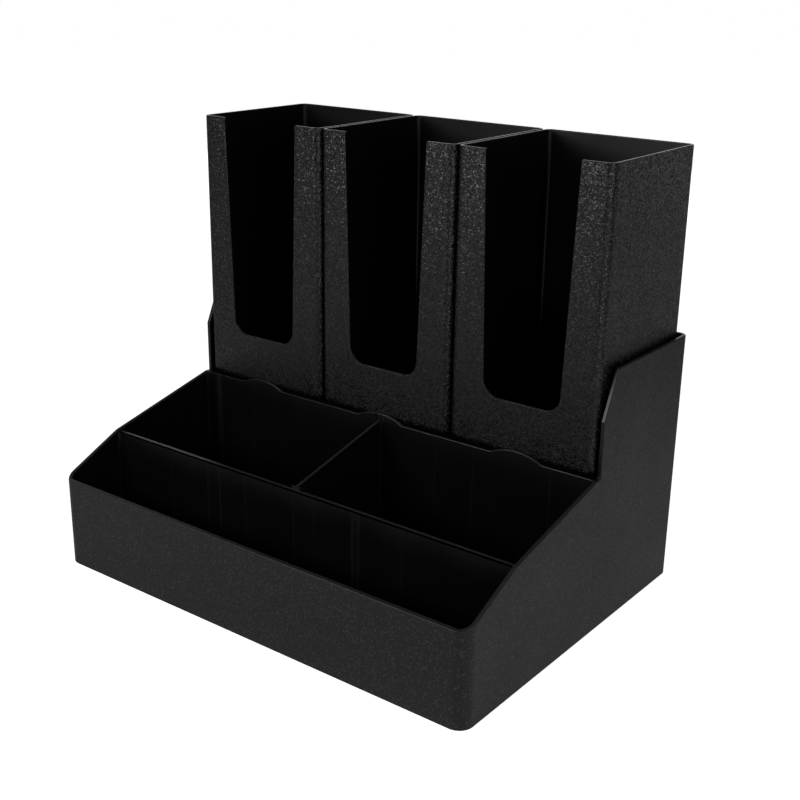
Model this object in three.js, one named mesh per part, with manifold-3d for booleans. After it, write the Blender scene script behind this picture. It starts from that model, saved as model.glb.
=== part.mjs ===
// A countertop cup and condiment station in black moulded plastic: a one-piece base caddy and three
// cup towers that stand side by side on its deck.
//
// Units are millimetres. +Z is up, +Y runs from the front to the back, and +X is to the right of
// someone who stands in front. The origin is the centre of the base's footprint, on the table.

import * as THREE from 'three';
import { mergeVertices } from 'three/addons/utils/BufferGeometryUtils.js';
import Module from 'manifold-3d';

const wasm = await Module();
wasm.setup();

// ---------------------------------------------------------------------------------------------
// Driving dimensions: the base caddy
// ---------------------------------------------------------------------------------------------

const BASE_WIDTH = 310;
const BASE_DEPTH = 231;
const SIDE_WALL = 2.5;
const FRONT_WALL = 2.8;
const BACK_WALL = 2.5;
const FLOOR_THICKNESS = 2.5;
const FRONT_CORNER_RADIUS = 9;
const BACK_CORNER_RADIUS = 5.5;

// The side walls rise in two slopes from the front wall to the deck. They then step up to the
// cheeks, which a chamfer joins to the level back rim.
const FRONT_HEIGHT = 57.6;
const TRAY_DEPTH = 42.2;
const SLOPE_BREAK_HEIGHT = 77.4;
const BAY_DEPTH = 78.7;
const DECK_HEIGHT = 97.4;
const CHEEK_SETBACK = 3.5;
const CHEEK_HEIGHT = 131.3;
const CHEEK_CHAMFER_RUN = 12.7;
const BACK_HEIGHT = 159.6;

const DIVIDER_THICKNESS = 3;
const DIVIDER_HEIGHT = 76.7;
const CENTRE_DIVIDER_THICKNESS = 2;
const DECK_THICKNESS = 2.5;
const POCKET_CORNER_RADIUS = 2;
const POCKET_DRAFT = THREE.MathUtils.degToRad(0.6);

// A low crescent stop in front of each tower keeps it from sliding off the deck.
const STOP_THICKNESS = 2;
const STOP_WIDTH = 35;
const STOP_RISE = 4.2;

// ---------------------------------------------------------------------------------------------
// Driving dimensions: the cup towers
// ---------------------------------------------------------------------------------------------

const TOWER_COUNT_EACH_SIDE = 1;
const TOWER_HEIGHT = 175.3;
const TOWER_WALL = 2.1;
const TOWER_FLOOR = 2.1;
const TOWER_CORNER_RADIUS = 5;
const TOWER_FOOT_RADIUS = 4;

// The front slot is open at the top and narrows towards a round-cornered sill.
const SLOT_TOP_WIDTH = 60.1;
const SLOT_SILL_WIDTH = 51.1;
const SLOT_SILL_HEIGHT = 32.6;
const SLOT_CORNER_RADIUS = 10;

// ---------------------------------------------------------------------------------------------
// Clearances between the pieces
// ---------------------------------------------------------------------------------------------

const TOWER_TO_CHEEK = 2.4;
const TOWER_TO_TOWER = 1.6;
const TOWER_TO_STOP = 0.4;
const TOWER_TO_BACK = 0.4;
const TOWER_TO_DECK = 0.02;

// ---------------------------------------------------------------------------------------------
// Facets, and how far a cut runs past the face that it opens
// ---------------------------------------------------------------------------------------------

const CORNER_SEGMENTS = 6;
const STOP_SEGMENTS = 10;
const FOOT_SEGMENTS = 4;
const OVERSHOOT = 5;

// ---------------------------------------------------------------------------------------------
// Places that follow from the dimensions above
// ---------------------------------------------------------------------------------------------

const LEFT = -BASE_WIDTH / 2;
const RIGHT = BASE_WIDTH / 2;
const FRONT = -BASE_DEPTH / 2;
const BACK = BASE_DEPTH / 2;
const DIVIDER_FRONT = FRONT + FRONT_WALL + TRAY_DEPTH;
const DIVIDER_BACK = DIVIDER_FRONT + DIVIDER_THICKNESS;
const DECK_FRONT = DIVIDER_BACK + BAY_DEPTH;
const CHEEK_FRONT = DECK_FRONT + CHEEK_SETBACK;
const CHEEK_INNER = RIGHT - SIDE_WALL;

const TOWER_FRONT = DECK_FRONT + STOP_THICKNESS + TOWER_TO_STOP;
const TOWER_BACK = BACK - BACK_WALL - TOWER_TO_BACK;
const TOWER_DEPTH = TOWER_BACK - TOWER_FRONT;
const TOWER_COUNT = 2 * TOWER_COUNT_EACH_SIDE + 1;
const TOWER_ROW_WIDTH = 2 * (CHEEK_INNER - TOWER_TO_CHEEK);
const TOWER_WIDTH = (TOWER_ROW_WIDTH - (TOWER_COUNT - 1) * TOWER_TO_TOWER) / TOWER_COUNT;
const TOWER_PITCH = TOWER_WIDTH + TOWER_TO_TOWER;
const TOWER_FOOT_HEIGHT = DECK_HEIGHT + TOWER_TO_DECK;

// ---------------------------------------------------------------------------------------------
// Materials
// ---------------------------------------------------------------------------------------------

const satinBlack = new THREE.MeshStandardMaterial({ color: 0x1d1d1e, roughness: 0.5, metalness: 0 });
const grainedBlack = new THREE.MeshStandardMaterial({ color: 0x191919, roughness: 0.6, metalness: 0 });

// ---------------------------------------------------------------------------------------------
// From a three.js geometry to a solid that can be joined and cut, and back
// ---------------------------------------------------------------------------------------------

function toSolid(geometry) {
  const bare = geometry.index ? geometry.toNonIndexed() : geometry.clone();
  bare.deleteAttribute('normal');
  bare.deleteAttribute('uv');
  const merged = mergeVertices(bare, 1e-4);
  const vertProperties = new Float32Array(merged.attributes.position.array);
  const triVerts = new Uint32Array(merged.index.array);
  return new wasm.Manifold(new wasm.Mesh({ numProp: 3, vertProperties, triVerts }));
}

function toMesh(solid, name, material) {
  const { vertProperties, triVerts } = solid.getMesh();
  const geometry = new THREE.BufferGeometry();
  geometry.setAttribute('position', new THREE.BufferAttribute(vertProperties, 3));
  geometry.setIndex(new THREE.BufferAttribute(triVerts, 1));
  geometry.computeVertexNormals();
  const mesh = new THREE.Mesh(geometry, material);
  mesh.name = name;
  return mesh;
}

// ---------------------------------------------------------------------------------------------
// Outlines and prisms
// ---------------------------------------------------------------------------------------------

// A rectangle from [x0, y0] to [x1, y1] with one radius for its front and one for its back corners.
function roundedRectangle([x0, y0], [x1, y1], frontRadius, backRadius = frontRadius) {
  const quarter = Math.PI / 2;
  const shape = new THREE.Shape();
  shape.absarc(x1 - frontRadius, y0 + frontRadius, frontRadius, -quarter, 0);
  shape.absarc(x1 - backRadius, y1 - backRadius, backRadius, 0, quarter);
  shape.absarc(x0 + backRadius, y1 - backRadius, backRadius, quarter, 2 * quarter);
  shape.absarc(x0 + frontRadius, y0 + frontRadius, frontRadius, 2 * quarter, 3 * quarter);
  return shape;
}

function polygon(points) {
  return new THREE.Shape(points.map(([x, y]) => new THREE.Vector2(x, y)));
}

// Extrudes an outline in the XY plane from the height z0 to z1.
function uprightPrism(shape, z0, z1) {
  const settings = { depth: z1 - z0, bevelEnabled: false, curveSegments: CORNER_SEGMENTS };
  return new THREE.ExtrudeGeometry(shape, settings).translate(0, 0, z0);
}

// Extrudes an outline in the YZ plane across the width, from x0 to x1.
function crosswisePrism(shape, x0, x1) {
  const settings = { depth: x1 - x0, bevelEnabled: false, curveSegments: CORNER_SEGMENTS };
  const turn = new THREE.Matrix4().makeBasis(
    new THREE.Vector3(0, 1, 0),
    new THREE.Vector3(0, 0, 1),
    new THREE.Vector3(1, 0, 0),
  );
  return new THREE.ExtrudeGeometry(shape, settings).applyMatrix4(turn).translate(x0, 0, 0);
}

// Extrudes an outline in the XZ plane from front to back, from y0 to y1.
function lengthwisePrism(shape, y0, y1, curveSegments = CORNER_SEGMENTS) {
  const settings = { depth: y1 - y0, bevelEnabled: false, curveSegments };
  return new THREE.ExtrudeGeometry(shape, settings).rotateX(Math.PI / 2).translate(0, y1, 0);
}

// A pocket whose mouth at the height zMouth has the given rectangle, and whose walls close in by
// the draft angle towards its end at zEnd, which may be above or below the mouth.
function draftedPocket(corner0, corner1, zMouth, zEnd, frontRadius, backRadius = frontRadius) {
  const outline = roundedRectangle(corner0, corner1, frontRadius, backRadius);
  const low = Math.min(zMouth, zEnd);
  const high = Math.max(zMouth, zEnd);
  const geometry = uprightPrism(outline, low, high);
  const centre = [(corner0[0] + corner1[0]) / 2, (corner0[1] + corner1[1]) / 2];
  const taper = Math.tan(POCKET_DRAFT) * (high - low);
  const scaleX = 1 - (2 * taper) / (corner1[0] - corner0[0]);
  const scaleY = 1 - (2 * taper) / (corner1[1] - corner0[1]);
  const position = geometry.attributes.position;
  for (let i = 0; i < position.count; i += 1) {
    const atEnd = Math.abs(position.getZ(i) - zEnd) < Math.abs(position.getZ(i) - zMouth);
    if (atEnd) {
      position.setX(i, centre[0] + (position.getX(i) - centre[0]) * scaleX);
      position.setY(i, centre[1] + (position.getY(i) - centre[1]) * scaleY);
    }
  }
  return geometry;
}

// ---------------------------------------------------------------------------------------------
// The base caddy
// ---------------------------------------------------------------------------------------------

// The outer block: the rounded footprint, cut to the side walls' stepped outline.
function baseBlock() {
  const footprint = roundedRectangle([LEFT, FRONT], [RIGHT, BACK], FRONT_CORNER_RADIUS, BACK_CORNER_RADIUS);
  const block = toSolid(uprightPrism(footprint, 0, BACK_HEIGHT));
  const sideOutline = polygon([
    [FRONT - OVERSHOOT, -OVERSHOOT],
    [BACK + OVERSHOOT, -OVERSHOOT],
    [BACK + OVERSHOOT, BACK_HEIGHT + OVERSHOOT],
    [CHEEK_FRONT + CHEEK_CHAMFER_RUN, BACK_HEIGHT + OVERSHOOT],
    [CHEEK_FRONT + CHEEK_CHAMFER_RUN, BACK_HEIGHT],
    [CHEEK_FRONT, CHEEK_HEIGHT],
    [CHEEK_FRONT, DECK_HEIGHT],
    [DECK_FRONT, DECK_HEIGHT],
    [DIVIDER_FRONT, SLOPE_BREAK_HEIGHT],
    [FRONT + FRONT_WALL, FRONT_HEIGHT],
    [FRONT - OVERSHOOT, FRONT_HEIGHT],
  ]);
  return block.intersect(toSolid(crosswisePrism(sideOutline, LEFT - OVERSHOOT, RIGHT + OVERSHOOT)));
}

function trayPocket() {
  const frontRadius = Math.max(FRONT_CORNER_RADIUS - FRONT_WALL, POCKET_CORNER_RADIUS);
  const corner0 = [-CHEEK_INNER, FRONT + FRONT_WALL];
  const corner1 = [CHEEK_INNER, DIVIDER_FRONT];
  return toSolid(
    draftedPocket(corner0, corner1, SLOPE_BREAK_HEIGHT, FLOOR_THICKNESS, frontRadius, POCKET_CORNER_RADIUS),
  );
}

// One of the two middle bays: side is -1 for the left and 1 for the right.
function bayPocket(side) {
  const inner = (side * CENTRE_DIVIDER_THICKNESS) / 2;
  const outer = side * CHEEK_INNER;
  const corner0 = [Math.min(inner, outer), DIVIDER_BACK];
  const corner1 = [Math.max(inner, outer), DECK_FRONT];
  return toSolid(draftedPocket(corner0, corner1, DECK_HEIGHT, FLOOR_THICKNESS, POCKET_CORNER_RADIUS));
}

// Takes the divider down to its own height between the side walls.
function dividerRelief() {
  const outline = roundedRectangle(
    [-CHEEK_INNER, DIVIDER_FRONT - OVERSHOOT],
    [CHEEK_INNER, DIVIDER_BACK],
    POCKET_CORNER_RADIUS,
  );
  return toSolid(uprightPrism(outline, DIVIDER_HEIGHT, DECK_HEIGHT));
}

// The space over the deck, where the towers stand between the cheeks and the back wall.
function deckWell() {
  const outline = roundedRectangle(
    [-CHEEK_INNER, DECK_FRONT - OVERSHOOT],
    [CHEEK_INNER, BACK - BACK_WALL],
    POCKET_CORNER_RADIUS,
  );
  return toSolid(uprightPrism(outline, DECK_HEIGHT, BACK_HEIGHT + OVERSHOOT));
}

// The moulding is hollow under the deck, and open at the table.
function underDeckHollow() {
  const deckUnderside = DECK_HEIGHT - DECK_THICKNESS;
  const corner0 = [-CHEEK_INNER, DECK_FRONT + DECK_THICKNESS];
  const corner1 = [CHEEK_INNER, BACK - BACK_WALL];
  return toSolid(draftedPocket(corner0, corner1, -OVERSHOOT, deckUnderside, POCKET_CORNER_RADIUS));
}

// A crescent on the deck's front edge: a circular segment of the stop's width and rise.
function deckStop(centreX) {
  const halfWidth = STOP_WIDTH / 2;
  const radius = (halfWidth ** 2 + STOP_RISE ** 2) / (2 * STOP_RISE);
  const halfAngle = Math.asin(halfWidth / radius);
  const top = Math.PI / 2;
  const crescent = new THREE.Shape();
  crescent.moveTo(centreX - halfWidth, DECK_HEIGHT - DECK_THICKNESS / 2);
  crescent.lineTo(centreX + halfWidth, DECK_HEIGHT - DECK_THICKNESS / 2);
  crescent.absarc(
    centreX,
    DECK_HEIGHT + STOP_RISE - radius,
    radius,
    top - halfAngle,
    top + halfAngle,
  );
  return toSolid(lengthwisePrism(crescent, DECK_FRONT, DECK_FRONT + STOP_THICKNESS, STOP_SEGMENTS));
}

function baseCaddy() {
  let caddy = baseBlock()
    .subtract(trayPocket())
    .subtract(bayPocket(-1))
    .subtract(bayPocket(1))
    .subtract(dividerRelief())
    .subtract(deckWell())
    .subtract(underDeckHollow());
  for (const centreX of towerCentres()) {
    caddy = caddy.add(deckStop(centreX));
  }
  return caddy;
}

// ---------------------------------------------------------------------------------------------
// The cup towers
// ---------------------------------------------------------------------------------------------

function towerCentres() {
  const places = Array.from({ length: TOWER_COUNT }, (_, i) => i - TOWER_COUNT_EACH_SIDE);
  return places.map((place) => place * TOWER_PITCH);
}

// A square block, inset from the tower's outside by the given distance, with rounded uprights and a
// rounded foot. It stands with its underside at z0 and is cut off level at z1.
function roundedFootBlock(inset, z0, z1) {
  const footRadius = Math.max(TOWER_FOOT_RADIUS - inset, TOWER_WALL / 2);
  const cornerRadius = Math.max(TOWER_CORNER_RADIUS - inset, footRadius + TOWER_WALL / 10);
  const halfWidth = TOWER_WIDTH / 2 - inset;
  const halfDepth = TOWER_DEPTH / 2 - inset;
  const outline = roundedRectangle(
    [footRadius - halfWidth, footRadius - halfDepth],
    [halfWidth - footRadius, halfDepth - footRadius],
    cornerRadius - footRadius,
  );
  const rounded = new THREE.ExtrudeGeometry(outline, {
    depth: z1 - z0,
    bevelThickness: footRadius,
    bevelSize: footRadius,
    bevelSegments: FOOT_SEGMENTS,
    curveSegments: CORNER_SEGMENTS,
  }).translate(0, 0, z0 + footRadius);
  const reach = [TOWER_WIDTH, TOWER_DEPTH];
  const level = uprightPrism(roundedRectangle([-reach[0], -reach[1]], reach, OVERSHOOT), z0 - OVERSHOOT, z1);
  return toSolid(rounded).intersect(toSolid(level));
}

// The front slot's outline: two straight tapering sides and a sill with round corners.
function slotOutline() {
  const top = TOWER_HEIGHT;
  const flare = (SLOT_TOP_WIDTH - SLOT_SILL_WIDTH) / 2 / (top - SLOT_SILL_HEIGHT);
  const lean = Math.atan(flare);
  const cornerX = SLOT_SILL_WIDTH / 2 - SLOT_CORNER_RADIUS * Math.tan(Math.PI / 4 - lean / 2);
  const cornerZ = SLOT_SILL_HEIGHT + SLOT_CORNER_RADIUS;
  const sideX = SLOT_TOP_WIDTH / 2 + flare * OVERSHOOT;
  const outline = new THREE.Shape();
  outline.moveTo(sideX, top + OVERSHOOT);
  outline.lineTo(-sideX, top + OVERSHOOT);
  outline.absarc(-cornerX, cornerZ, SLOT_CORNER_RADIUS, Math.PI - lean, (3 * Math.PI) / 2);
  outline.absarc(cornerX, cornerZ, SLOT_CORNER_RADIUS, -Math.PI / 2, lean);
  return outline;
}

// A tower in its own frame: its footprint's centre is at the origin and its foot at z = 0.
function cupTower() {
  const outside = roundedFootBlock(0, 0, TOWER_HEIGHT);
  const inside = roundedFootBlock(TOWER_WALL, TOWER_FLOOR, TOWER_HEIGHT + OVERSHOOT);
  const slotBack = TOWER_WALL + TOWER_CORNER_RADIUS - TOWER_DEPTH / 2;
  const slot = lengthwisePrism(slotOutline(), -TOWER_DEPTH / 2 - OVERSHOOT, slotBack);
  return outside.subtract(inside).subtract(toSolid(slot));
}

// ---------------------------------------------------------------------------------------------
// The station
// ---------------------------------------------------------------------------------------------

const station = new THREE.Group();
station.add(toMesh(baseCaddy(), 'base_caddy', satinBlack));

const towerSolid = cupTower();
const towerNames = ['cup_tower_left', 'cup_tower_centre', 'cup_tower_right'];
towerCentres().forEach((centreX, i) => {
  const tower = toMesh(towerSolid, towerNames[i], grainedBlack);
  tower.position.set(centreX, (TOWER_FRONT + TOWER_BACK) / 2, TOWER_FOOT_HEIGHT);
  station.add(tower);
});

export default station;
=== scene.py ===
"""Looks of a cup and condiment station moulded in black ABS: a base caddy and three cup towers.

Everything is in metres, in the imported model's frame: +Z is up, +Y runs to the back, +X is to the
right of someone who stands in front, and the origin is the centre of the base's footprint.
"""

from __future__ import annotations

import logging
import math
from collections.abc import Callable, Iterable
from dataclasses import dataclass, field, replace
from enum import Enum
from typing import Any

import bmesh
import bpy
from mathutils import Euler, Matrix, Vector


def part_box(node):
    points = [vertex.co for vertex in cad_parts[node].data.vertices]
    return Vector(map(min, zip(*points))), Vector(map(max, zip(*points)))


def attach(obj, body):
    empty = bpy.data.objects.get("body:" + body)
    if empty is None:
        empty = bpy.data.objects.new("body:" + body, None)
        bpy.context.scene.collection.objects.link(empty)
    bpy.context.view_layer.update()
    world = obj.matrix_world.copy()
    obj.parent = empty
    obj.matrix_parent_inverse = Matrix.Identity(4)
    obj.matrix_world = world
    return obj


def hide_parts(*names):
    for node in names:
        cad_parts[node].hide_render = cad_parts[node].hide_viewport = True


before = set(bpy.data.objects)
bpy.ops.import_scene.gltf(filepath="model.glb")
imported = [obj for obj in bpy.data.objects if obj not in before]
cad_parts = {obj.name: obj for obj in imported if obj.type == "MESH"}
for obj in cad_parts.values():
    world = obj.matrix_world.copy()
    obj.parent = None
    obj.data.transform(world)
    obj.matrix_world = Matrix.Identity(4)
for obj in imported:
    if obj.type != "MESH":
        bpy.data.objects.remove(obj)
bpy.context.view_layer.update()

LOG = logging.getLogger("station")

MM = 0.001

# The smallest turn between two faces that counts as an edge to be eased.
EDGE_ANGLE = math.radians(35)

# The largest turn between two faces that still makes them one flat face.
FLAT_ANGLE = math.radians(0.3)

# The largest turn between two faces that is shaded as a smooth one.
SMOOTH_ANGLE = math.radians(50)

# How close together two corners left by the cuts are before they become one.
WELD = 0.03 * MM

# How close to a shallow bend a flat face is cut, to keep its shading flat.
HOLD = 0.3 * MM

# How close to a cutting plane a corner counts as lying on it, before and after the rounding.
ON_PLANE = 1e-7
NEAR_PLANE = 1e-6

# How close to a line a corner counts as lying on it.
ON_LINE = 0.01 * MM

# How many faces the arc of an eased rim has.
RIM_SEGMENTS = 4

# How strongly the level top of a wall is burnished and lightened by a painted highlight, where an eased
# edge is 1.
TOP_BURNISH_AND_HIGHLIGHT = 0.4

# Face attributes that the finishes read.
GRAIN = "grain"
RIM = "rim"


# ---------------------------------------------------------------------------------------------
# Choices
# ---------------------------------------------------------------------------------------------


class Cut(Enum):
    """What a tool solid does to the block that it meets."""

    REMOVE = "DIFFERENCE"
    JOIN = "UNION"


class Skin(Enum):
    """How much of the mould's texture a face carries."""

    GRAINED = 1.0
    SMOOTH = 0.0


# ---------------------------------------------------------------------------------------------
# Nodes and colours
# ---------------------------------------------------------------------------------------------


def linear(hex_colour: str) -> tuple[float, float, float, float]:
    """Turns an sRGB hex colour into the linear colour that shaders take.

    Args:
        hex_colour: Six hex digits after a hash sign.

    Returns:
        Red, green, blue and an alpha of one.
    """
    parts = [int(hex_colour[i : i + 2], 16) / 255 for i in (1, 3, 5)]
    red, green, blue = (c / 12.92 if c <= 0.04045 else ((c + 0.055) / 1.055) ** 2.4 for c in parts)
    return red, green, blue, 1.0


def add_node(
    tree: bpy.types.NodeTree,
    kind: str,
    settings: dict[str, Any] | None = None,
    feeds: dict[str | int, Any] | None = None,
) -> bpy.types.Node:
    """Adds a node with its settings and links.

    Args:
        tree: The node tree that the node goes into.
        kind: The node's type name.
        settings: Values for the node's own properties.
        feeds: For each input, by name or number, the output socket that feeds it or its value.

    Returns:
        The new node.
    """
    node = tree.nodes.new(kind)
    for name, value in (settings or {}).items():
        setattr(node, name, value)
    for key, value in (feeds or {}).items():
        socket = node.inputs[key]
        if isinstance(value, bpy.types.NodeSocket):
            tree.links.new(value, socket)
        else:
            socket.default_value = value
    return node


def empty_material(name: str) -> bpy.types.Material:
    """Makes a material whose node tree is empty.

    Args:
        name: The material's name.

    Returns:
        The material.
    """
    material = bpy.data.materials.new(name)
    material.use_nodes = True
    material.node_tree.nodes.clear()
    return material


# ---------------------------------------------------------------------------------------------
# Mesh tools
# ---------------------------------------------------------------------------------------------


def block(low: Iterable[float], high: Iterable[float]) -> bmesh.types.BMesh:
    """Starts a shape as a box between two corners.

    Args:
        low: The lowest corner.
        high: The highest corner.

    Returns:
        The new bmesh.
    """
    low, high = Vector(low), Vector(high)
    place = Matrix.Translation((low + high) / 2) @ Matrix.Diagonal((*(high - low), 1.0))
    bm = bmesh.new()
    bmesh.ops.create_cube(bm, size=1.0, matrix=place)
    return bm


def round_edges(
    bm: bmesh.types.BMesh, edges: Iterable[bmesh.types.BMEdge], radius: float, segments: int
) -> list[bmesh.types.BMFace]:
    """Rounds edges to an arc.

    Args:
        bm: The shape.
        edges: The edges to round.
        radius: The arc's radius on a square edge.
        segments: How many faces the arc has.

    Returns:
        The faces of the arcs.
    """
    made = bmesh.ops.bevel(
        bm,
        geom=list(edges),
        offset=radius,
        offset_type="OFFSET",
        segments=segments,
        profile=0.5,
        affect="EDGES",
        clamp_overlap=False,
        loop_slide=True,
        material=-1,
    )
    return made["faces"]


def uprights(
    bm: bmesh.types.BMesh, where: Callable[[Vector], bool] = lambda middle: True
) -> list[bmesh.types.BMEdge]:
    """Finds the upright edges of a shape.

    Args:
        bm: The shape.
        where: A test on an edge's middle.

    Returns:
        The upright edges whose middles pass the test.
    """
    found = []
    for edge in bm.edges:
        start, end = (vert.co for vert in edge.verts)
        along = end - start
        if abs(along.z) > 0.99 * along.length and where((start + end) / 2):
            found.append(edge)
    return found


def sharp_edges(bm: bmesh.types.BMesh) -> list[bmesh.types.BMEdge]:
    """Finds the outward edges that a mould maker would ease.

    Args:
        bm: The shape.

    Returns:
        The convex edges whose faces turn by more than EDGE_ANGLE.
    """
    bm.normal_update()
    return [e for e in bm.edges if e.is_manifold and e.calc_face_angle_signed(0.0) > EDGE_ANGLE]


def to_object(name: str, bm: bmesh.types.BMesh) -> bpy.types.Object:
    """Turns a bmesh into an object at the origin, and frees the bmesh.

    Args:
        name: The object's name.
        bm: The shape.

    Returns:
        The object, linked to the scene.
    """
    mesh = bpy.data.meshes.new(name)
    bm.to_mesh(mesh)
    bm.free()
    made = bpy.data.objects.new(name, mesh)
    bpy.context.scene.collection.objects.link(made)
    return made


def freeze(piece: bpy.types.Object) -> None:
    """Puts what a piece's modifiers make into its own mesh.

    Args:
        piece: The object whose modifiers are applied.
    """
    depsgraph = bpy.context.evaluated_depsgraph_get()
    baked = bpy.data.meshes.new_from_object(
        piece.evaluated_get(depsgraph), preserve_all_data_layers=True, depsgraph=depsgraph
    )
    old = piece.data
    piece.modifiers.clear()
    piece.data = baked
    baked.name = piece.name
    bpy.data.meshes.remove(old)


def snap(bm: bmesh.types.BMesh) -> bmesh.types.BMesh:
    """Rounds a shape's corners to a tenth of a micrometre, so that flush faces are truly flush.

    Args:
        bm: The shape.

    Returns:
        The same shape.
    """
    for vert in bm.verts:
        vert.co = [round(value, 7) for value in vert.co]
    return bm


def carve(piece: bpy.types.Object, tools: Iterable[tuple[Cut, bmesh.types.BMesh]]) -> None:
    """Cuts and joins tool solids in turn, then removes them.

    Args:
        piece: The block that is cut.
        tools: What each tool does, and its shape.
    """
    spent = []
    for number, (cut, shape) in enumerate(tools):
        tool = to_object(f"tool_{number}", snap(shape))
        change = piece.modifiers.new(f"cut_{number}", "BOOLEAN")
        change.operation = cut.value
        change.solver = "EXACT"
        change.object = tool
        spent.append(tool)
    freeze(piece)
    for tool in spent:
        mesh = tool.data
        bpy.data.objects.remove(tool)
        bpy.data.meshes.remove(mesh)


def put_in_order(bm: bmesh.types.BMesh) -> None:
    """Sorts a carved mesh by place, because the cuts leave it in an order that varies.

    Args:
        bm: The mesh.
    """
    # A slanted direction, so that few corners lie equally far along it.
    slant = Vector((1.0, 3.7, 11.3))
    bm.verts.sort(key=lambda vert: vert.co.dot(slant))
    bm.edges.sort(key=lambda edge: (edge.verts[0].co + edge.verts[1].co).dot(slant))
    bm.faces.sort(key=lambda face: face.calc_center_median().dot(slant))
    for parts in (bm.verts, bm.edges, bm.faces):
        parts.index_update()
        parts.ensure_lookup_table()


def clear_loose(bm: bmesh.types.BMesh) -> None:
    """Removes edges and corners that belong to no face.

    Args:
        bm: The shape.
    """
    wires = [edge for edge in bm.edges if not edge.link_faces]
    bmesh.ops.delete(bm, geom=wires, context="EDGES")
    strays = [vert for vert in bm.verts if not vert.link_faces]
    bmesh.ops.delete(bm, geom=strays, context="VERTS")


def hold_flat(bm: bmesh.types.BMesh, place: Vector, direction: Vector, past_x: float) -> None:
    """Cuts the side walls close to both sides of a shallow bend, so that it is shaded crisply.

    Args:
        bm: The shape.
        place: A point on the bend.
        direction: The way across the bend.
        past_x: How far out from the middle a face must lie to be cut.
    """
    for side in (-1, 1):
        faces = [face for face in bm.faces if abs(face.calc_center_median().x) > past_x]
        edges = {edge for face in faces for edge in face.edges}
        verts = {vert for face in faces for vert in face.verts}
        bmesh.ops.bisect_plane(
            bm,
            geom=[*verts, *edges, *faces],
            dist=NEAR_PLANE,
            plane_co=place + direction * side * HOLD,
            plane_no=direction,
        )


def settle_normals(piece: bpy.types.Object) -> None:
    """Shades arcs smoothly and keeps the flat faces flat.

    Args:
        piece: The finished shape.
    """
    piece.data.shade_smooth()
    piece.data.set_sharp_from_angle(angle=SMOOTH_ANGLE)
    weighted = piece.modifiers.new("even_normals", "WEIGHTED_NORMAL")
    weighted.keep_sharp = True
    weighted.weight = 100
    freeze(piece)


def is_strip(face: bmesh.types.BMFace, width: float) -> bool:
    """Tells whether a face is a long strip, no wider than the given width."""
    return 2 * face.calc_area() / face.calc_perimeter() < width


def mark_faces(
    bm: bmesh.types.BMesh,
    rims: set[bmesh.types.BMFace],
    wall: float,
    skin: Callable[[bmesh.types.BMFace], Skin],
) -> None:
    """Writes the face attributes that the finishes read.

    Args:
        bm: The shape.
        rims: The faces that ease an edge.
        wall: The wall's thickness; a level strip narrower than that is the top of a wall.
        skin: Gives the skin of a face.
    """
    bm.normal_update()
    grain = bm.faces.layers.float.new(GRAIN)
    rim = bm.faces.layers.float.new(RIM)
    for face in bm.faces:
        # Eased edges and level wall tops carry a painted highlight in their colour, as well as a smoother
        # burnish.
        flat_top_highlight = TOP_BURNISH_AND_HIGHLIGHT if face.normal.z > 0.5 and is_strip(face, wall) else 0.0
        face[grain] = skin(face).value
        face[rim] = 1.0 if face in rims else flat_top_highlight


# ---------------------------------------------------------------------------------------------
# Finishes
# ---------------------------------------------------------------------------------------------


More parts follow.
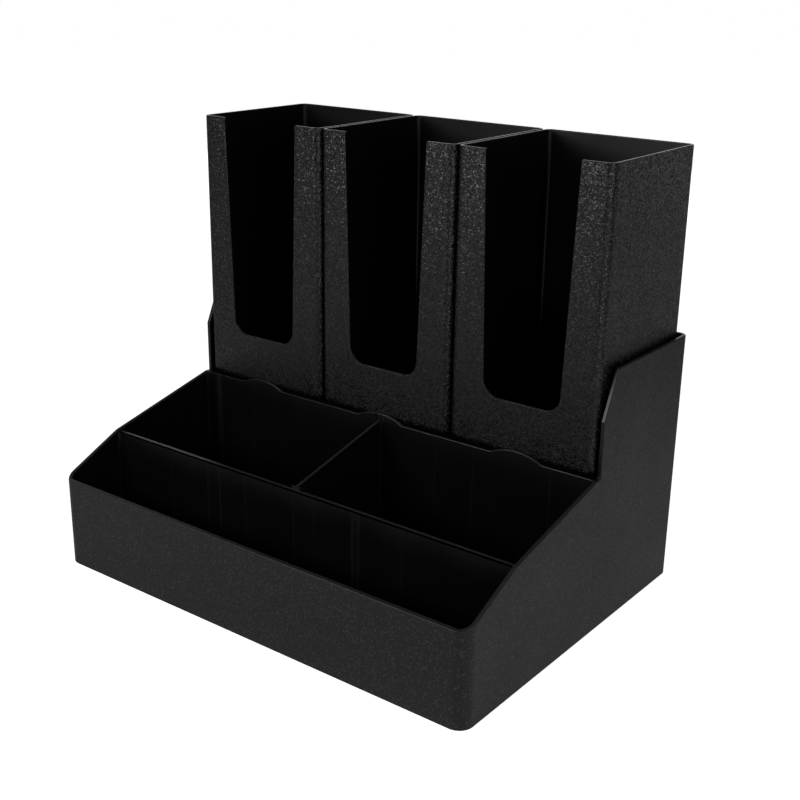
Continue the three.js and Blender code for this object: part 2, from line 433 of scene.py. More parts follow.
@dataclass(frozen=True)
class MouldedAbs:
    """Black ABS, injection moulded against a textured steel tool.

    To the eye it is a deep neutral black that only shows by its sheen: broken up by the grain on
    grained faces, quiet and even on smooth ones. Eased edges and wall tops are burnished smoother,
    and their colour is lifted by a painted highlight; a few crests carry painted glints.
    """

    name: str
    shade: str
    # The lighter colour: painted highlights on eased edges and wall tops, painted glints on a few crests,
    # and the drag hairlines.
    shade_painted_light_and_drag: str
    # Width of one pebble of the grain, drawn coarser than the real 0.6 mm so that it shows.
    pebble: float
    # How steeply the pebbles' tops lean, each its own way, as a slope.
    steepness: float
    # Height of the fine ripple that every moulded face has, grained or not.
    ripple: float
    roughness: float
    # Inside faces come off the tool's polished core, so they are glossier.
    roughness_inside: float
    # How much the roughness swings from pebble to pebble, and in slow drifts.
    roughness_spread: float
    roughness_drift: float
    # How strongly the few chosen crests are painted light, as glints.
    painted_glint: float
    # How strongly hairlines show that the tool's core drags up the inside walls.
    drag: float
    # Places along Y where a wall inside joins the outside and draws it in a little.
    sinks: tuple[float, ...] = ()
    sink_depth: float = 0.04 * MM
    sink_half_width: float = 1.8 * MM
    # How far apart the ripples, the drifts in the sheen and the hairlines are.
    ripple_width: float = 7 * MM
    drift_width: float = 45 * MM
    drag_width: float = 38 * MM
    # How wide a hairline is, as a share of the swing between two of them.
    drag_line: float = 0.006
    # How much smoother handling has rubbed an edge.
    burnish: float = 0.08

    def pebbles(self, tree: bpy.types.NodeTree, where: bpy.types.NodeSocket) -> bpy.types.Node:
        """Adds the cells of the grain, one to a pebble.

        Args:
            tree: The node tree.
            where: The place on the piece.

        Returns:
            The cells, each with a colour of its own by chance.
        """
        return add_node(
            tree,
            "ShaderNodeTexVoronoi",
            {"feature": "F1"},
            {"Vector": where, "Scale": 1 / self.pebble, "Randomness": 0.9},
        )

    def raise_grain(
        self,
        tree: bpy.types.NodeTree,
        where: bpy.types.NodeSocket,
        grained: bpy.types.NodeSocket,
        cells: bpy.types.Node,
    ) -> bpy.types.Node:
        """Adds the grain's relief: each pebble is a low dome whose top leans its own way.

        Args:
            tree: The node tree.
            where: The place on the piece.
            grained: One on the outside, nought on the inside.
            cells: The cells of the grain.

        Returns:
            The bump.
        """
        offset = add_node(
            tree,
            "ShaderNodeVectorMath",
            {"operation": "SUBTRACT"},
            {0: where, 1: cells.outputs["Position"]},
        )
        tilt = add_node(
            tree,
            "ShaderNodeVectorMath",
            {"operation": "SUBTRACT"},
            {0: cells.outputs["Color"], 1: (0.5, 0.5, 0.5)},
        )
        lean = add_node(
            tree,
            "ShaderNodeVectorMath",
            {"operation": "DOT_PRODUCT"},
            {0: offset.outputs[0], 1: tilt.outputs[0]},
        )
        dome = add_node(
            tree,
            "ShaderNodeMapRange",
            {"interpolation_type": "SMOOTHSTEP"},
            {
                "Value": cells.outputs["Distance"],
                "From Min": 0.2,
                "From Max": 0.9,
                "To Min": 0.15,
                "To Max": 0.0,
            },
        )
        height = add_node(
            tree,
            "ShaderNodeMath",
            {"operation": "MULTIPLY_ADD"},
            {0: lean.outputs["Value"], 1: 1 / self.pebble, 2: dome.outputs["Result"]},
        )
        masked = add_node(
            tree, "ShaderNodeMath", {"operation": "MULTIPLY"}, {0: height.outputs[0], 1: grained}
        )
        return add_node(
            tree,
            "ShaderNodeBump",
            feeds={
                "Height": masked.outputs[0],
                "Strength": 1.0,
                "Distance": self.steepness * self.pebble,
            },
        )

    def ripple_over(
        self, tree: bpy.types.NodeTree, where: bpy.types.NodeSocket, under: bpy.types.Node
    ) -> bpy.types.Node:
        """Adds the ripple, the soft unevenness of a moulded wall.

        Args:
            tree: The node tree.
            where: The place on the piece.
            under: The bump that the ripple lies on.

        Returns:
            The bump.
        """
        waves = add_node(
            tree,
            "ShaderNodeTexNoise",
            feeds={"Vector": where, "Scale": 1 / self.ripple_width, "Detail": 4.0, "Roughness": 0.5},
        )
        return add_node(
            tree,
            "ShaderNodeBump",
            feeds={
                "Height": waves.outputs["Fac"],
                "Strength": 1.0,
                "Distance": self.ripple,
                "Normal": under.outputs["Normal"],
            },
        )

    def draw_in(
        self,
        tree: bpy.types.NodeTree,
        where: bpy.types.NodeSocket,
        grained: bpy.types.NodeSocket,
        under: bpy.types.Node,
    ) -> bpy.types.Node:
        """Adds the sinks, faint upright hollows on the outside.

        Args:
            tree: The node tree.
            where: The place on the piece.
            grained: One on the outside, nought on the inside.
            under: The bump that the sinks lie on.

        Returns:
            The last bump.
        """
        along = add_node(tree, "ShaderNodeSeparateXYZ", feeds={0: where}).outputs["Y"]
        bump = under
        for place in self.sinks:
            away = add_node(tree, "ShaderNodeMath", {"operation": "SUBTRACT"}, {0: along, 1: place})
            distance = add_node(tree, "ShaderNodeMath", {"operation": "ABSOLUTE"}, {0: away.outputs[0]})
            hollow = add_node(
                tree,
                "ShaderNodeMapRange",
                {"interpolation_type": "SMOOTHSTEP"},
                {
                    "Value": distance.outputs[0],
                    "From Max": self.sink_half_width,
                    "To Min": -1.0,
                    "To Max": 0.0,
                },
            )
            share = add_node(
                tree,
                "ShaderNodeMath",
                {"operation": "MULTIPLY"},
                {0: hollow.outputs["Result"], 1: grained},
            )
            bump = add_node(
                tree,
                "ShaderNodeBump",
                feeds={
                    "Height": share.outputs[0],
                    "Strength": 1.0,
                    "Distance": self.sink_depth,
                    "Normal": bump.outputs["Normal"],
                },
            )
        return bump

    def drag_marks(
        self, tree: bpy.types.NodeTree, where: bpy.types.NodeSocket, grained: bpy.types.NodeSocket
    ) -> bpy.types.NodeSocket:
        """Adds upright hairlines on the inside walls, a few centimetres apart.

        Args:
            tree: The node tree.
            where: The place on the piece.
            grained: One on the outside, nought on the inside.

        Returns:
            The socket that carries how strongly a hairline shows.
        """
        upright = add_node(
            tree, "ShaderNodeVectorMath", {"operation": "MULTIPLY"}, {0: where, 1: (1.0, 1.0, 0.01)}
        )
        swells = add_node(
            tree,
            "ShaderNodeTexNoise",
            feeds={"Vector": upright.outputs[0], "Scale": 1 / self.drag_width, "Detail": 0.0},
        )
        level = add_node(
            tree, "ShaderNodeMath", {"operation": "SUBTRACT"}, {0: swells.outputs["Fac"], 1: 0.5}
        )
        distance = add_node(tree, "ShaderNodeMath", {"operation": "ABSOLUTE"}, {0: level.outputs[0]})
        line = add_node(
            tree,
            "ShaderNodeMapRange",
            feeds={
                "Value": distance.outputs[0],
                "From Max": self.drag_line,
                "To Min": self.drag,
                "To Max": 0.0,
            },
        )
        facing = add_node(tree, "ShaderNodeNewGeometry").outputs["Normal"]
        lift = add_node(tree, "ShaderNodeSeparateXYZ", feeds={0: facing}).outputs["Z"]
        flat = add_node(tree, "ShaderNodeMath", {"operation": "ABSOLUTE"}, {0: lift})
        wall = add_node(
            tree,
            "ShaderNodeMapRange",
            feeds={
                "Value": flat.outputs[0],
                "From Min": 0.2,
                "From Max": 0.5,
                "To Min": 1.0,
                "To Max": 0.0,
            },
        )
        inside = add_node(
            tree, "ShaderNodeMath", {"operation": "SUBTRACT"}, {0: wall.outputs["Result"], 1: grained}
        )
        share = add_node(
            tree,
            "ShaderNodeMath",
            {"operation": "MULTIPLY", "use_clamp": True},
            {0: line.outputs["Result"], 1: inside.outputs[0]},
        )
        return share.outputs[0]

    def painted_crest_glints(
        self, tree: bpy.types.NodeTree, grained: bpy.types.NodeSocket, chance: bpy.types.Node
    ) -> bpy.types.NodeSocket:
        """Picks the pebbles whose crests are painted light, as glints.

        Args:
            tree: The node tree.
            grained: One on the outside, nought on the inside.
            chance: Each pebble's own numbers.

        Returns:
            The socket that carries how light a crest is.
        """
        lit = add_node(
            tree,
            "ShaderNodeMapRange",
            feeds={
                "Value": chance.outputs["Blue"],
                "From Min": 0.8,
                "From Max": 1.0,
                "To Max": self.painted_glint,
            },
        )
        share = add_node(
            tree, "ShaderNodeMath", {"operation": "MULTIPLY"}, {0: lit.outputs["Result"], 1: grained}
        )
        return share.outputs[0]

    def sheen(
        self,
        tree: bpy.types.NodeTree,
        where: bpy.types.NodeSocket,
        grained: bpy.types.NodeSocket,
        rim: bpy.types.NodeSocket,
        chance: bpy.types.Node,
    ) -> bpy.types.NodeSocket:
        """Works out the roughness: the skin's own, slow drifts like faint flow marks, and chance.

        Args:
            tree: The node tree.
            where: The place on the piece.
            grained: One on the outside, nought on the inside.
            rim: One on an eased edge.
            chance: Each pebble's own numbers.

        Returns:
            The socket that carries the roughness.
        """
        uneven = add_node(
            tree,
            "ShaderNodeMapRange",
            feeds={
                "Value": chance.outputs["Red"],
                "To Min": -self.roughness_spread,
                "To Max": self.roughness_spread,
            },
        )
        uneven_share = add_node(
            tree, "ShaderNodeMath", {"operation": "MULTIPLY"}, {0: uneven.outputs["Result"], 1: grained}
        )
        drift = add_node(
            tree,
            "ShaderNodeTexNoise",
            feeds={"Vector": where, "Scale": 1 / self.drift_width, "Detail": 2.0, "Roughness": 0.5},
        )
        skin = add_node(
            tree,
            "ShaderNodeMapRange",
            feeds={"Value": grained, "To Min": self.roughness_inside, "To Max": self.roughness},
        )
        swing = add_node(
            tree,
            "ShaderNodeMapRange",
            feeds={
                "Value": drift.outputs["Fac"],
                "From Min": 0.3,
                "From Max": 0.7,
                "To Min": -self.roughness_drift,
                "To Max": self.roughness_drift,
            },
        )
        drifting = add_node(
            tree,
            "ShaderNodeMath",
            {"operation": "ADD"},
            {0: skin.outputs["Result"], 1: swing.outputs["Result"]},
        )
        dappled = add_node(
            tree,
            "ShaderNodeMath",
            {"operation": "ADD"},
            {0: drifting.outputs[0], 1: uneven_share.outputs[0]},
        )
        burnished = add_node(
            tree,
            "ShaderNodeMath",
            {"operation": "MULTIPLY_ADD"},
            {0: rim, 1: -self.burnish, 2: dappled.outputs[0]},
        )
        return burnished.outputs[0]

    def build(self) -> bpy.types.Material:
        """Makes the material.

        Returns:
            The node material.
        """
        material = empty_material(self.name)
        tree = material.node_tree
        where = add_node(tree, "ShaderNodeTexCoord").outputs["Object"]
        grained = add_node(tree, "ShaderNodeAttribute", {"attribute_name": GRAIN}).outputs["Fac"]
        rim = add_node(tree, "ShaderNodeAttribute", {"attribute_name": RIM}).outputs["Fac"]

        cells = self.pebbles(tree, where)
        grain = self.raise_grain(tree, where, grained, cells)
        bump = self.draw_in(tree, where, grained, self.ripple_over(tree, where, grain))

        # Chance, pebble by pebble: how rough its top is, and whether its crest gets a painted glint.
        chance = add_node(tree, "ShaderNodeSeparateColor", feeds={"Color": cells.outputs["Color"]})
        drag_and_glints = add_node(
            tree,
            "ShaderNodeMath",
            {"operation": "MAXIMUM"},
            {0: self.drag_marks(tree, where, grained), 1: self.painted_crest_glints(tree, grained, chance)},
        )
        # The colour is lifted toward the lighter shade by the drag hairlines, which are real marks, and
        # by painted highlights on eased edges, wall tops and glinting crests.
        drag_and_painted_light = add_node(
            tree, "ShaderNodeMath", {"operation": "MAXIMUM"}, {0: rim, 1: drag_and_glints.outputs[0]}
        )
        tint = add_node(
            tree,
            "ShaderNodeMix",
            {"data_type": "RGBA"},
            {"Factor": drag_and_painted_light.outputs[0], 6: linear(self.shade), 7: linear(self.shade_painted_light_and_drag)},
        )
        shader = add_node(
            tree,
            "ShaderNodeBsdfPrincipled",
            feeds={
                "Base Color": tint.outputs[2],
                "Roughness": self.sheen(tree, where, grained, rim, chance),
                "Normal": bump.outputs["Normal"],
                "IOR": 1.5,
            },
        )
        add_node(tree, "ShaderNodeOutputMaterial", feeds={"Surface": shader.outputs["BSDF"]})
        return material


# Black ABS off a tool with a coarse spark-eroded pebble grain: matt, with a lively glitter, partly from
# its bumps and partly painted glints on lighter crests.
TOWER_ABS = MouldedAbs(
    name="abs_moulded_pebble_grain",
    shade="#0c0c0c",
    shade_painted_light_and_drag="#5a5a5a",
    pebble=0.85 * MM,
    steepness=0.36,
    ripple=0.02 * MM,
    roughness=0.3,
    roughness_inside=0.31,
    roughness_spread=0.1,
    roughness_drift=0.03,
    painted_glint=0.6,
    drag=0.04,
)

# Black ABS off a finely etched tool: satin, even, with a few painted light points as glints.
BASE_ABS = MouldedAbs(
    name="abs_moulded_fine_satin",
    shade="#0c0c0c",
    shade_painted_light_and_drag="#5a5a5a",
    pebble=0.75 * MM,
    steepness=0.12,
    ripple=0.015 * MM,
    roughness=0.42,
    roughness_inside=0.31,
    roughness_spread=0.04,
    roughness_drift=0.03,
    painted_glint=0.45,
    drag=0.1,
)


# ---------------------------------------------------------------------------------------------
# The base caddy
# ---------------------------------------------------------------------------------------------


@dataclass
class BaseCaddy:
    """The one-piece base: a front tray, two bays and a deck that the towers stand on.

    The places worked out from the sizes are where the inside of the side walls lies along X, and,
    along Y, the front of the tray, the divider's two faces, the deck's front, the cheeks' front
    and the inside of the back wall.
    """

    node: str = "base_caddy"
    body: str = "base"
    slot: str = "base_plastic"
    side_wall: float = 2.5 * MM
    front_wall: float = 2.8 * MM
    back_wall: float = 2.5 * MM
    floor: float = 2.5 * MM
    front_corner: float = 9 * MM
    back_corner: float = 5.5 * MM
    front_height: float = 57.6 * MM
    tray_depth: float = 42.2 * MM
    slope_break: float = 77.4 * MM
    bay_depth: float = 78.7 * MM
    deck_height: float = 97.4 * MM
    deck_thickness: float = 2.5 * MM
    cheek_setback: float = 3.5 * MM
    cheek_height: float = 131.3 * MM
    cheek_chamfer_run: float = 12.7 * MM
    divider_thickness: float = 3 * MM
    divider_height: float = 76.7 * MM
    centre_divider_thickness: float = 2 * MM
    pocket_corner: float = 2 * MM
    pocket_floor_corner: float = 1.5 * MM
    stop_thickness: float = 2 * MM
    stop_width: float = 35 * MM
    stop_rise: float = 4.2 * MM
    stop_pitch: float = 100.6 * MM
    rim_radius: float = 0.5 * MM
    # How far a tool reaches past what it cuts.
    beyond: float = 5 * MM
    # How far from a side wall's surface a face may lie and still be one of its own.
    wall_margin: float = 0.3 * MM
    low: Vector = field(init=False)
    high: Vector = field(init=False)
    inner: float = field(init=False)
    tray_front: float = field(init=False)
    divider_front: float = field(init=False)
    divider_back: float = field(init=False)
    deck_front: float = field(init=False)
    cheek_front: float = field(init=False)
    well_back: float = field(init=False)

    def __post_init__(self) -> None:
        """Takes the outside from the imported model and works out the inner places."""
        self.low, self.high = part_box(self.node)
        self.inner = self.high.x - self.side_wall
        self.tray_front = self.low.y + self.front_wall
        self.divider_front = self.tray_front + self.tray_depth
        self.divider_back = self.divider_front + self.divider_thickness
        self.deck_front = self.divider_back + self.bay_depth
        self.cheek_front = self.deck_front + self.cheek_setback
        self.well_back = self.high.y - self.back_wall

    def outside(self) -> bmesh.types.BMesh:
        """Makes the outer block with its rounded corners.

        Returns:
            The block, still level at the top.
        """
        bm = block(self.low, self.high)
        round_edges(bm, uprights(bm, lambda middle: middle.y < 0), self.front_corner, 14)
        round_edges(bm, uprights(bm, lambda middle: middle.y > self.well_back), self.back_corner, 10)
        return bm

    def above_the_rims(self) -> bmesh.types.BMesh:
        """Makes the tool that leaves the side walls' stepped outline.

        Returns:
            A prism across the width, over the rims.
        """
        top = self.high.z + self.beyond
        front = self.low.y - self.beyond
        shoulder = self.cheek_front + self.cheek_chamfer_run
        outline = [
            (front, self.front_height),
            (self.tray_front, self.front_height),
            (self.divider_front, self.slope_break),
            (self.deck_front, self.deck_height),
            (self.cheek_front, self.deck_height),
            (self.cheek_front, self.cheek_height),
            (shoulder, self.high.z),
            (shoulder, top),
            (front, top),
        ]
        bm = bmesh.new()
        side = self.low.x - self.beyond
        profile = bm.faces.new([bm.verts.new((side, y, z)) for y, z in outline])
        swept = bmesh.ops.extrude_face_region(bm, geom=[profile])["geom"]
        moved = [part for part in swept if isinstance(part, bmesh.types.BMVert)]
        bmesh.ops.translate(bm, verts=moved, vec=(self.high.x - self.low.x + 2 * self.beyond, 0, 0))
        bmesh.ops.recalc_face_normals(bm, faces=bm.faces)
        return bm

    def pocket(
        self, low: tuple[float, float, float], high: tuple[float, float, float], front_corner: float
    ) -> bmesh.types.BMesh:
        """Makes the tool for a pocket with rounded uprights and a rounded floor.

        Args:
            low: The pocket's lowest corner.
            high: The pocket's highest corner.
            front_corner: Radius of the two front uprights.

        Returns:
            The tool.
        """
        bm = block(low, high)
        middle_y = (low[1] + high[1]) / 2
        round_edges(bm, uprights(bm, lambda middle: middle.y < middle_y), front_corner, 8)
        round_edges(
            bm, uprights(bm, lambda middle: middle.y > high[1] - 0.1 * MM), self.pocket_corner, 6
        )
        floor_face = min(bm.faces, key=lambda face: face.calc_center_median().z)
        round_edges(bm, floor_face.edges, self.pocket_floor_corner, 4)
        return bm

    def tray(self) -> bmesh.types.BMesh:
        """Makes the tool for the front tray.

        Returns:
            The tool.
        """
        low = (-self.inner, self.tray_front, self.floor)
        high = (self.inner, self.divider_front, self.high.z)
        return self.pocket(low, high, self.front_corner - self.front_wall)

    def bay(self, side: int) -> bmesh.types.BMesh:
        """Makes the tool for one of the two bays.

        Args:
            side: -1 for the left bay and 1 for the right one.

        Returns:
            The tool.
        """
        across = sorted((side * self.centre_divider_thickness / 2, side * self.inner))
        low = (across[0], self.divider_back, self.floor)
        high = (across[1], self.deck_front, self.high.z)
        return self.pocket(low, high, self.pocket_corner)

    def divider_relief(self) -> bmesh.types.BMesh:
        """Makes the tool that takes the divider down to its own height.

        Returns:
            The tool.
        """
        low = (-self.inner, self.divider_front - self.beyond, self.divider_height)
        high = (self.inner, self.divider_back, self.high.z)
        return block(low, high)

    def divider_end_relief(self, side: int) -> bmesh.types.BMesh:
        """Makes the tool that levels the fillet behind one end of the divider.

        Args:
            side: -1 for the left end and 1 for the right one.

        Returns:
            The tool.
        """
        across = sorted((side * (self.inner - 2 * self.pocket_corner), side * self.inner))
        low = (across[0], self.divider_front - self.beyond, self.divider_height)
        high = (across[1], self.divider_back + self.pocket_corner, self.high.z)
        return block(low, high)

    def deck_well(self) -> bmesh.types.BMesh:
        """Makes the tool for the space between the cheeks, over the deck.

        Returns:
            The tool.
        """
        low = (-self.inner, self.deck_front - self.beyond, self.deck_height)
        high = (self.inner, self.well_back, self.high.z + self.beyond)
        bm = block(low, high)
        round_edges(bm, uprights(bm), self.pocket_corner, 6)
        return bm

    def under_deck(self) -> bmesh.types.BMesh:
        """Makes the tool for the hollow that is open at the table.

        Returns:
            The tool.
        """
        low = (-self.inner, self.deck_front + self.deck_thickness, self.low.z - self.beyond)
        high = (self.inner, self.well_back, self.deck_height - self.deck_thickness)
        bm = block(low, high)
        round_edges(bm, uprights(bm), self.pocket_corner, 6)
        roof = max(bm.faces, key=lambda face: face.calc_center_median().z)
        round_edges(bm, roof.edges, self.pocket_floor_corner, 4)
        return bm

    def stop(self, centre_x: float) -> bmesh.types.BMesh:
        """Makes one crescent stop on the deck's front edge.

        Args:
            centre_x: The crescent's middle.

        Returns:
            The crescent, sunk a little into the deck and proud of its front.
        """
        half = self.stop_width / 2
        radius = (half**2 + self.stop_rise**2) / (2 * self.stop_rise)
        top = self.deck_height + self.stop_rise
        upright = Matrix.Rotation(math.pi / 2, 4, "X")
        proud = self.stop_thickness / 2
        front = self.deck_front - proud
        place = Matrix.Translation((centre_x, front, top - radius)) @ upright
        bm = bmesh.new()
        bmesh.ops.create_circle(bm, cap_ends=True, radius=radius, segments=160, matrix=place)
        bmesh.ops.bisect_plane(
            bm,
            geom=[*bm.verts, *bm.edges, *bm.faces],
            dist=ON_PLANE,
            plane_co=(0, 0, self.deck_height - self.deck_thickness / 2),
            plane_no=(0, 0, 1),
            clear_inner=True,
        )
        swept = bmesh.ops.extrude_face_region(bm, geom=bm.faces[:])["geom"]
        moved = [part for part in swept if isinstance(part, bmesh.types.BMVert)]
        bmesh.ops.translate(bm, verts=moved, vec=(0, proud + self.stop_thickness, 0))
        bmesh.ops.recalc_face_normals(bm, faces=bm.faces)
        return bm

    def skin(self, face: bmesh.types.BMFace) -> Skin:
        """Tells the outside of the walls, which is etched, from the inside.

        Args:
            face: A face of the caddy.

        Returns:
            The skin that the face has.
        """
        middle = face.calc_center_median()
        beside = abs(middle.x) > self.high.x - self.front_corner and abs(face.normal.z) < 0.5
        outer_side = beside and abs(middle.x) > self.high.x - self.wall_margin
        outer_front = middle.y < self.low.y + self.front_corner and face.normal.y < -0.05
        outer_back = middle.y > self.high.y - self.back_corner and face.normal.y > 0.05
        return Skin.GRAINED if outer_side or outer_front or outer_back else Skin.SMOOTH

    def build(self) -> bpy.types.Object:
        """Carves, eases and dresses the caddy.

        Returns:
            The finished piece.
        """
        piece = to_object("caddy_shell", snap(self.outside()))
        # The stops go on before the bays are cut, so one cut leaves them flush with the deck's front.
        tools = [(Cut.REMOVE, self.above_the_rims()), (Cut.REMOVE, self.deck_well())]
        tools += [(Cut.JOIN, self.stop(place * self.stop_pitch)) for place in (-1, 0, 1)]
        tools += [
            (Cut.REMOVE, self.tray()),
            (Cut.REMOVE, self.bay(-1)),
            (Cut.REMOVE, self.bay(1)),
            (Cut.REMOVE, self.divider_relief()),
            (Cut.REMOVE, self.divider_end_relief(-1)),
            (Cut.REMOVE, self.divider_end_relief(1)),
            (Cut.REMOVE, self.under_deck()),
        ]
        carve(piece, tools)

        bm = bmesh.new()
        bm.from_mesh(piece.data)
        put_in_order(bm)
        bmesh.ops.remove_doubles(bm, verts=bm.verts, dist=WELD)
        put_in_order(bm)
        bmesh.ops.dissolve_limit(
            bm, angle_limit=FLAT_ANGLE, verts=bm.verts, edges=bm.edges, delimit=set()
        )
        clear_loose(bm)
        put_in_order(bm)
        rims = set(round_edges(bm, sharp_edges(bm), self.rim_radius, RIM_SEGMENTS))
        mark_faces(bm, rims, self.front_wall, self.skin)
        past_x = self.inner - self.wall_margin
        for bend in (self.tray_front, self.divider_front, self.deck_front):
            hold_flat(bm, Vector((0, bend, 0)), Vector((0, 1, 0)), past_x)
        for bend in (self.cheek_height, self.high.z - 2 * self.rim_radius):
            hold_flat(bm, Vector((0, 0, bend)), Vector((0, 0, 1)), past_x)
        bm.to_mesh(piece.data)
        bm.free()
        settle_normals(piece)

        piece.data.materials.clear()
        joins = (
            self.divider_front + self.divider_thickness / 2,
            self.deck_front + self.deck_thickness / 2,
        )
        piece.data.materials.append(replace(BASE_ABS, sinks=joins).build())
        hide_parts(self.node)
        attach(piece, self.body)
        return piece


# ---------------------------------------------------------------------------------------------
# The cup towers
# ---------------------------------------------------------------------------------------------


@dataclass
class CupTower:
    """One square tower with an open top and a tapering front slot."""

    node: str
    body: str
    low: Vector = field(init=False)
    high: Vector = field(init=False)
    slot: str = "tower_plastic"
    wall: float = 2.1 * MM
    corner: float = 5 * MM
    foot_corner: float = 4 * MM
    slot_top_width: float = 60.1 * MM
    slot_sill_width: float = 51.1 * MM
    slot_sill_height: float = 32.6 * MM
    slot_corner: float = 10 * MM
    rim_radius: float = 0.5 * MM

    def __post_init__(self) -> None:
        """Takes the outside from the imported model."""
        self.low, self.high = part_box(self.node)

    def outside(self) -> bmesh.types.BMesh:
        """Makes the outer skin: rounded uprights and foot, and no lid.

        Returns:
            The skin.
        """
        bm = block(self.low, self.high)
        round_edges(bm, uprights(bm), self.corner, 12)
        underside = min(bm.faces, key=lambda face: face.calc_center_median().z)
        round_edges(bm, underside.edges, self.foot_corner, 8)
        lid = max(bm.faces, key=lambda face: face.calc_center_median().z)
        bmesh.ops.delete(bm, geom=[lid], context="FACES_ONLY")
        return bm

    def open_slot(self, bm: bmesh.types.BMesh) -> None:
        """Cuts the slot out of the front face and rounds its sill's corners.

        Args:
            bm: The outer skin.
        """
        middle_x = (self.low.x + self.high.x) / 2
        sill = self.low.z + self.slot_sill_height
        half_top, half_sill = self.slot_top_width / 2, self.slot_sill_width / 2
        lean = (half_top - half_sill) / (self.high.z - sill)
        planes = [
            (Vector((middle_x + side * half_sill, 0, sill)), Vector((side, 0, -lean)))
            for side in (-1, 1)
        ]
        planes.append((Vector((0, 0, sill)), Vector((0, 0, 1))))
        for place, direction in planes:
            front = [face for face in bm.faces if self.is_front(face)]
            edges = {edge for face in front for edge in face.edges}
            verts = {vert for face in front for vert in face.verts}
            bmesh.ops.bisect_plane(
                bm, geom=[*verts, *edges, *front], dist=ON_PLANE, plane_co=place, plane_no=direction
            )
        bm.normal_update()
        opening = [
            face
            for face in bm.faces
            if self.is_front(face)
            and abs(face.calc_center_median().x - middle_x) < half_sill
            and face.calc_center_median().z > sill
        ]
        bmesh.ops.delete(bm, geom=opening, context="FACES")
        bmesh.ops.dissolve_limit(
            bm, angle_limit=FLAT_ANGLE, verts=bm.verts, edges=bm.edges, delimit=set()
        )
        corners = [
            vert
            for vert in bm.verts
            if abs(vert.co.z - sill) < ON_LINE
            and abs(abs(vert.co.x - middle_x) - half_sill) < ON_LINE
            and vert.co.y < self.low.y + ON_LINE
        ]
        reach = self.slot_corner * math.tan(math.pi / 4 - math.atan(lean) / 2)
        bmesh.ops.bevel(
            bm,
            geom=corners,
            offset=reach,
            offset_type="OFFSET",
            segments=14,
            profile=0.5,
            affect="VERTICES",
            clamp_overlap=False,
            material=-1,
        )

    def is_front(self, face: bmesh.types.BMFace) -> bool:
        """Tells whether a face lies in the flat of the front."""
        return all(vert.co.y < self.low.y + 0.001 * MM for vert in face.verts)

    def skin(self, face: bmesh.types.BMFace) -> Skin:
        """Tells the grained outside from the smooth inside.

        Args:
            face: A face of the tower.

        Returns:
            The skin that the face has.
        """
        middle = face.calc_center_median()
        if middle.z < self.low.z + 0.5 * self.wall:
            return Skin.GRAINED
        centre = (self.low + self.high) / 2
        away = Vector((middle.x - centre.x, middle.y - centre.y, 0))
        inward = face.normal.dot(away) <= 0
        level = abs(face.normal.z) > 0.99
        half_width = (self.high.x - self.low.x) / 2
        behind_wall = max(abs(away.x), abs(away.y)) < half_width - 0.6 * self.wall
        above_foot = middle.z > self.high.z / 2
        return Skin.SMOOTH if inward or level or (behind_wall and above_foot) else Skin.GRAINED

    def build(self) -> bpy.types.Object:
        """Shapes, thickens, eases and dresses the tower.

        Returns:
            The finished piece.
        """
        bm = self.outside()
        self.open_slot(bm)
        bmesh.ops.recalc_face_normals(bm, faces=bm.faces)
        piece = to_object(self.node.replace("cup_tower", "tower_shell"), bm)
        shell = piece.modifiers.new("wall", "SOLIDIFY")
        shell.thickness = self.wall
        shell.offset = -1.0
        shell.use_even_offset = True
        shell.use_quality_normals = True
        freeze(piece)

        bm = bmesh.new()
        bm.from_mesh(piece.data)
        bm.normal_update()
        rims = set(round_edges(bm, sharp_edges(bm), self.rim_radius, RIM_SEGMENTS))
        mark_faces(bm, rims, self.wall, self.skin)
        bm.to_mesh(piece.data)
        bm.free()
        settle_normals(piece)

        piece.data.materials.clear()
        piece.data.materials.append(TOWER_ABS.build())
        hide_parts(self.node)
        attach(piece, self.body)
        return piece


# ---------------------------------------------------------------------------------------------
# The studio
# ---------------------------------------------------------------------------------------------


@dataclass(frozen=True)
class Softbox:
    """A soft rectangular light, given by how bright its face is. It isn't seen itself."""

    name: str
    place: tuple[float, float, float]
    wide: float
    tall: float
    brightness: float
    aim: tuple[float, float, float] = (0.0, 0.0, 0.12)

    def build(self) -> None:
        """Puts the light into the scene."""
        data = bpy.data.lights.new(self.name, "AREA")
        data.shape = "RECTANGLE"
        data.size = self.wide
        data.size_y = self.tall
        data.energy = self.brightness * math.pi * self.wide * self.tall
        lamp = bpy.data.objects.new(self.name, data)
        bpy.context.scene.collection.objects.link(lamp)
        lamp.visible_camera = False
        lamp.location = self.place
        way = Vector(self.aim) - Vector(self.place)
        lamp.rotation_euler = way.to_track_quat("-Z", "Y").to_euler()


@dataclass(frozen=True)
class Viewpoint:
    """A camera by its place, the way it looks in radians and its lens in millimetres."""

    place: tuple[float, float, float] = (0.44962, -0.56248, 0.36998)
    yaw: float = 0.6472
    pitch: float = 0.3418
    roll: float = 0.0154
    lens: float = 55.738

    def build(self) -> None:
        """Makes the scene's camera."""
        data = bpy.data.cameras.new("camera")
        data.lens = self.lens
        data.sensor_width = 36.0
        data.clip_start = 0.01
        data.clip_end = 100.0
        camera = bpy.data.objects.new("camera", data)
        bpy.context.scene.collection.objects.link(camera)
        look = Euler((math.pi / 2 - self.pitch, 0, self.yaw)).to_matrix().to_4x4()
        turn = Matrix.Rotation(self.roll, 4, "Z")
        camera.matrix_world = Matrix.Translation(self.place) @ look @ turn
        bpy.context.scene.camera = camera


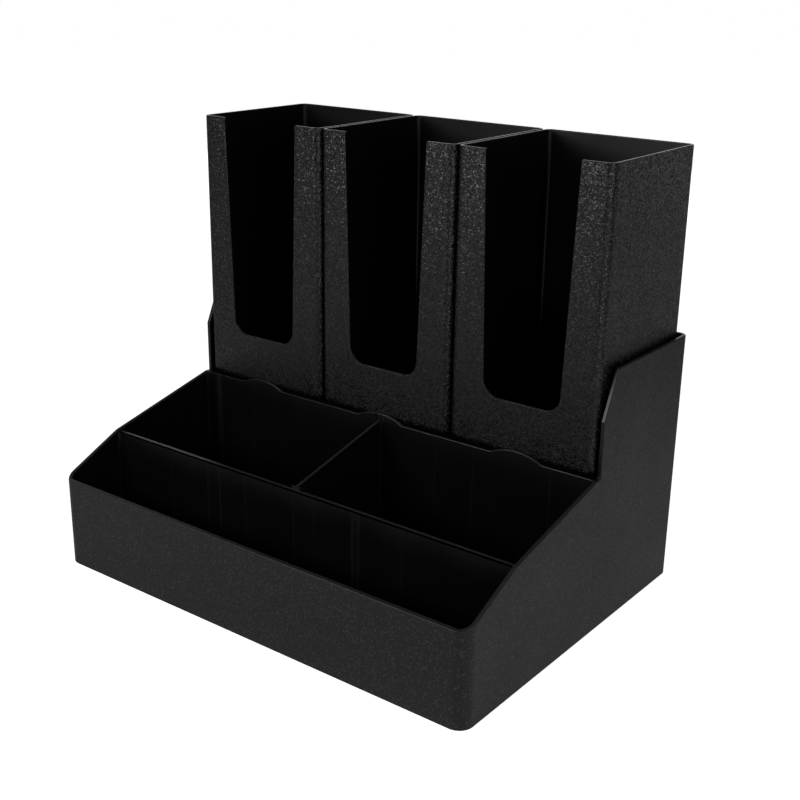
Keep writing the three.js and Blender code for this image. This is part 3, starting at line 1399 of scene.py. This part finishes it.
@dataclass(frozen=True)
class Studio:
    """A plain pale floor that glows like a light table, in a dim room with soft lights.

    The floor and the room are seen bright, but light the station much more weakly. The floor's
    glow is strongest around pool_centre and has faded to floor_glow_far at pool_reach.
    """

    floor_half: float = 20.0
    floor_shade: str = "#f4f4f4"
    floor_glow: float = 0.22
    floor_glow_far: float = 0.11
    floor_glow_seen: float = 0.97
    pool_centre: tuple[float, float, float] = (0.22, 0.14, 0.0)
    pool_radius: float = 0.22
    pool_reach: float = 0.37
    room: float = 0.03
    backdrop: float = 1.0
    softboxes: tuple[Softbox, ...] = (
        Softbox("sweep_behind", (-0.75, 1.5, 0.36), 2.6, 0.66, 0.9),
        Softbox("softbox_front_right", (1.06, -0.55, 0.42), 0.5, 0.4, 4.0, (0.1, 0.0, 0.2)),
        Softbox("key_front_left", (-0.32, -0.84, 0.46), 0.5, 0.22, 7.0, (0.0, 0.0, 0.25)),
    )

    def seen_brighter(
        self, tree: bpy.types.NodeTree, strength: float | bpy.types.NodeSocket, strength_seen: float
    ) -> bpy.types.NodeSocket:
        """Gives the stage one strength as a lamp and another as a backdrop.

        Args:
            tree: The floor's or the room's node tree.
            strength: How strongly it lights the station.
            strength_seen: How bright it looks behind the station.

        Returns:
            The socket that carries the strength.
        """
        path = add_node(tree, "ShaderNodeLightPath")
        share = add_node(
            tree,
            "ShaderNodeMapRange",
            feeds={"Value": path.outputs["Is Camera Ray"], "To Min": strength, "To Max": strength_seen},
        )
        return share.outputs["Result"]

    def pool(self, tree: bpy.types.NodeTree) -> bpy.types.NodeSocket:
        """Makes the floor's glow fade away from the station.

        Args:
            tree: The floor's node tree.

        Returns:
            The socket that carries the strength.
        """
        place = add_node(tree, "ShaderNodeTexCoord").outputs["Object"]
        distance = add_node(
            tree, "ShaderNodeVectorMath", {"operation": "DISTANCE"}, {0: place, 1: self.pool_centre}
        )
        fade = add_node(
            tree,
            "ShaderNodeMapRange",
            {"interpolation_type": "SMOOTHSTEP"},
            {
                "Value": distance.outputs["Value"],
                "From Min": self.pool_radius,
                "From Max": self.pool_reach,
                "To Min": self.floor_glow,
                "To Max": self.floor_glow_far,
            },
        )
        return fade.outputs["Result"]

    def lay_floor(self) -> None:
        """Lays the floor under the station."""
        bm = bmesh.new()
        bmesh.ops.create_grid(bm, x_segments=1, y_segments=1, size=self.floor_half)
        bmesh.ops.translate(bm, verts=bm.verts, vec=(0, 0, -0.05 * MM))
        floor = to_object("studio_floor", bm)
        material = empty_material("studio_paper")
        glow = self.seen_brighter(material.node_tree, self.pool(material.node_tree), self.floor_glow_seen)
        shader = add_node(
            material.node_tree,
            "ShaderNodeBsdfPrincipled",
            feeds={
                "Base Color": linear(self.floor_shade),
                "Roughness": 0.9,
                "Emission Color": (1.0, 1.0, 1.0, 1.0),
                "Emission Strength": glow,
            },
        )
        add_node(
            material.node_tree, "ShaderNodeOutputMaterial", feeds={"Surface": shader.outputs["BSDF"]}
        )
        floor.data.materials.append(material)

    def fill_room(self) -> None:
        """Fills the room with even light, in front of a white backdrop."""
        world = bpy.data.worlds.new("studio_room")
        world.use_nodes = True
        world.node_tree.nodes.clear()
        tree = world.node_tree
        sky = add_node(
            tree,
            "ShaderNodeBackground",
            feeds={
                "Color": (1.0, 1.0, 1.0, 1.0),
                "Strength": self.seen_brighter(tree, self.room, self.backdrop),
            },
        )
        add_node(tree, "ShaderNodeOutputWorld", feeds={"Surface": sky.outputs["Background"]})
        bpy.context.scene.world = world

    def build(self) -> None:
        """Sets up the floor, the room and the lights."""
        self.lay_floor()
        self.fill_room()
        for softbox in self.softboxes:
            softbox.build()
        bpy.context.scene.view_settings.view_transform = "Standard"


# ---------------------------------------------------------------------------------------------
# The station
# ---------------------------------------------------------------------------------------------


def main() -> None:
    """Builds the studio and the station, piece by piece."""
    logging.basicConfig(level=logging.INFO, format="%(message)s")
    Viewpoint().build()
    Studio().build()
    pieces = [
        BaseCaddy(),
        CupTower("cup_tower_left", "tower_left"),
        CupTower("cup_tower_centre", "tower_centre"),
        CupTower("cup_tower_right", "tower_right"),
    ]
    for piece in pieces:
        made = piece.build()
        made.data.calc_loop_triangles()
        LOG.info("%s: %d triangles", made.name, len(made.data.loop_triangles))


if __name__ == "__main__":
    main()
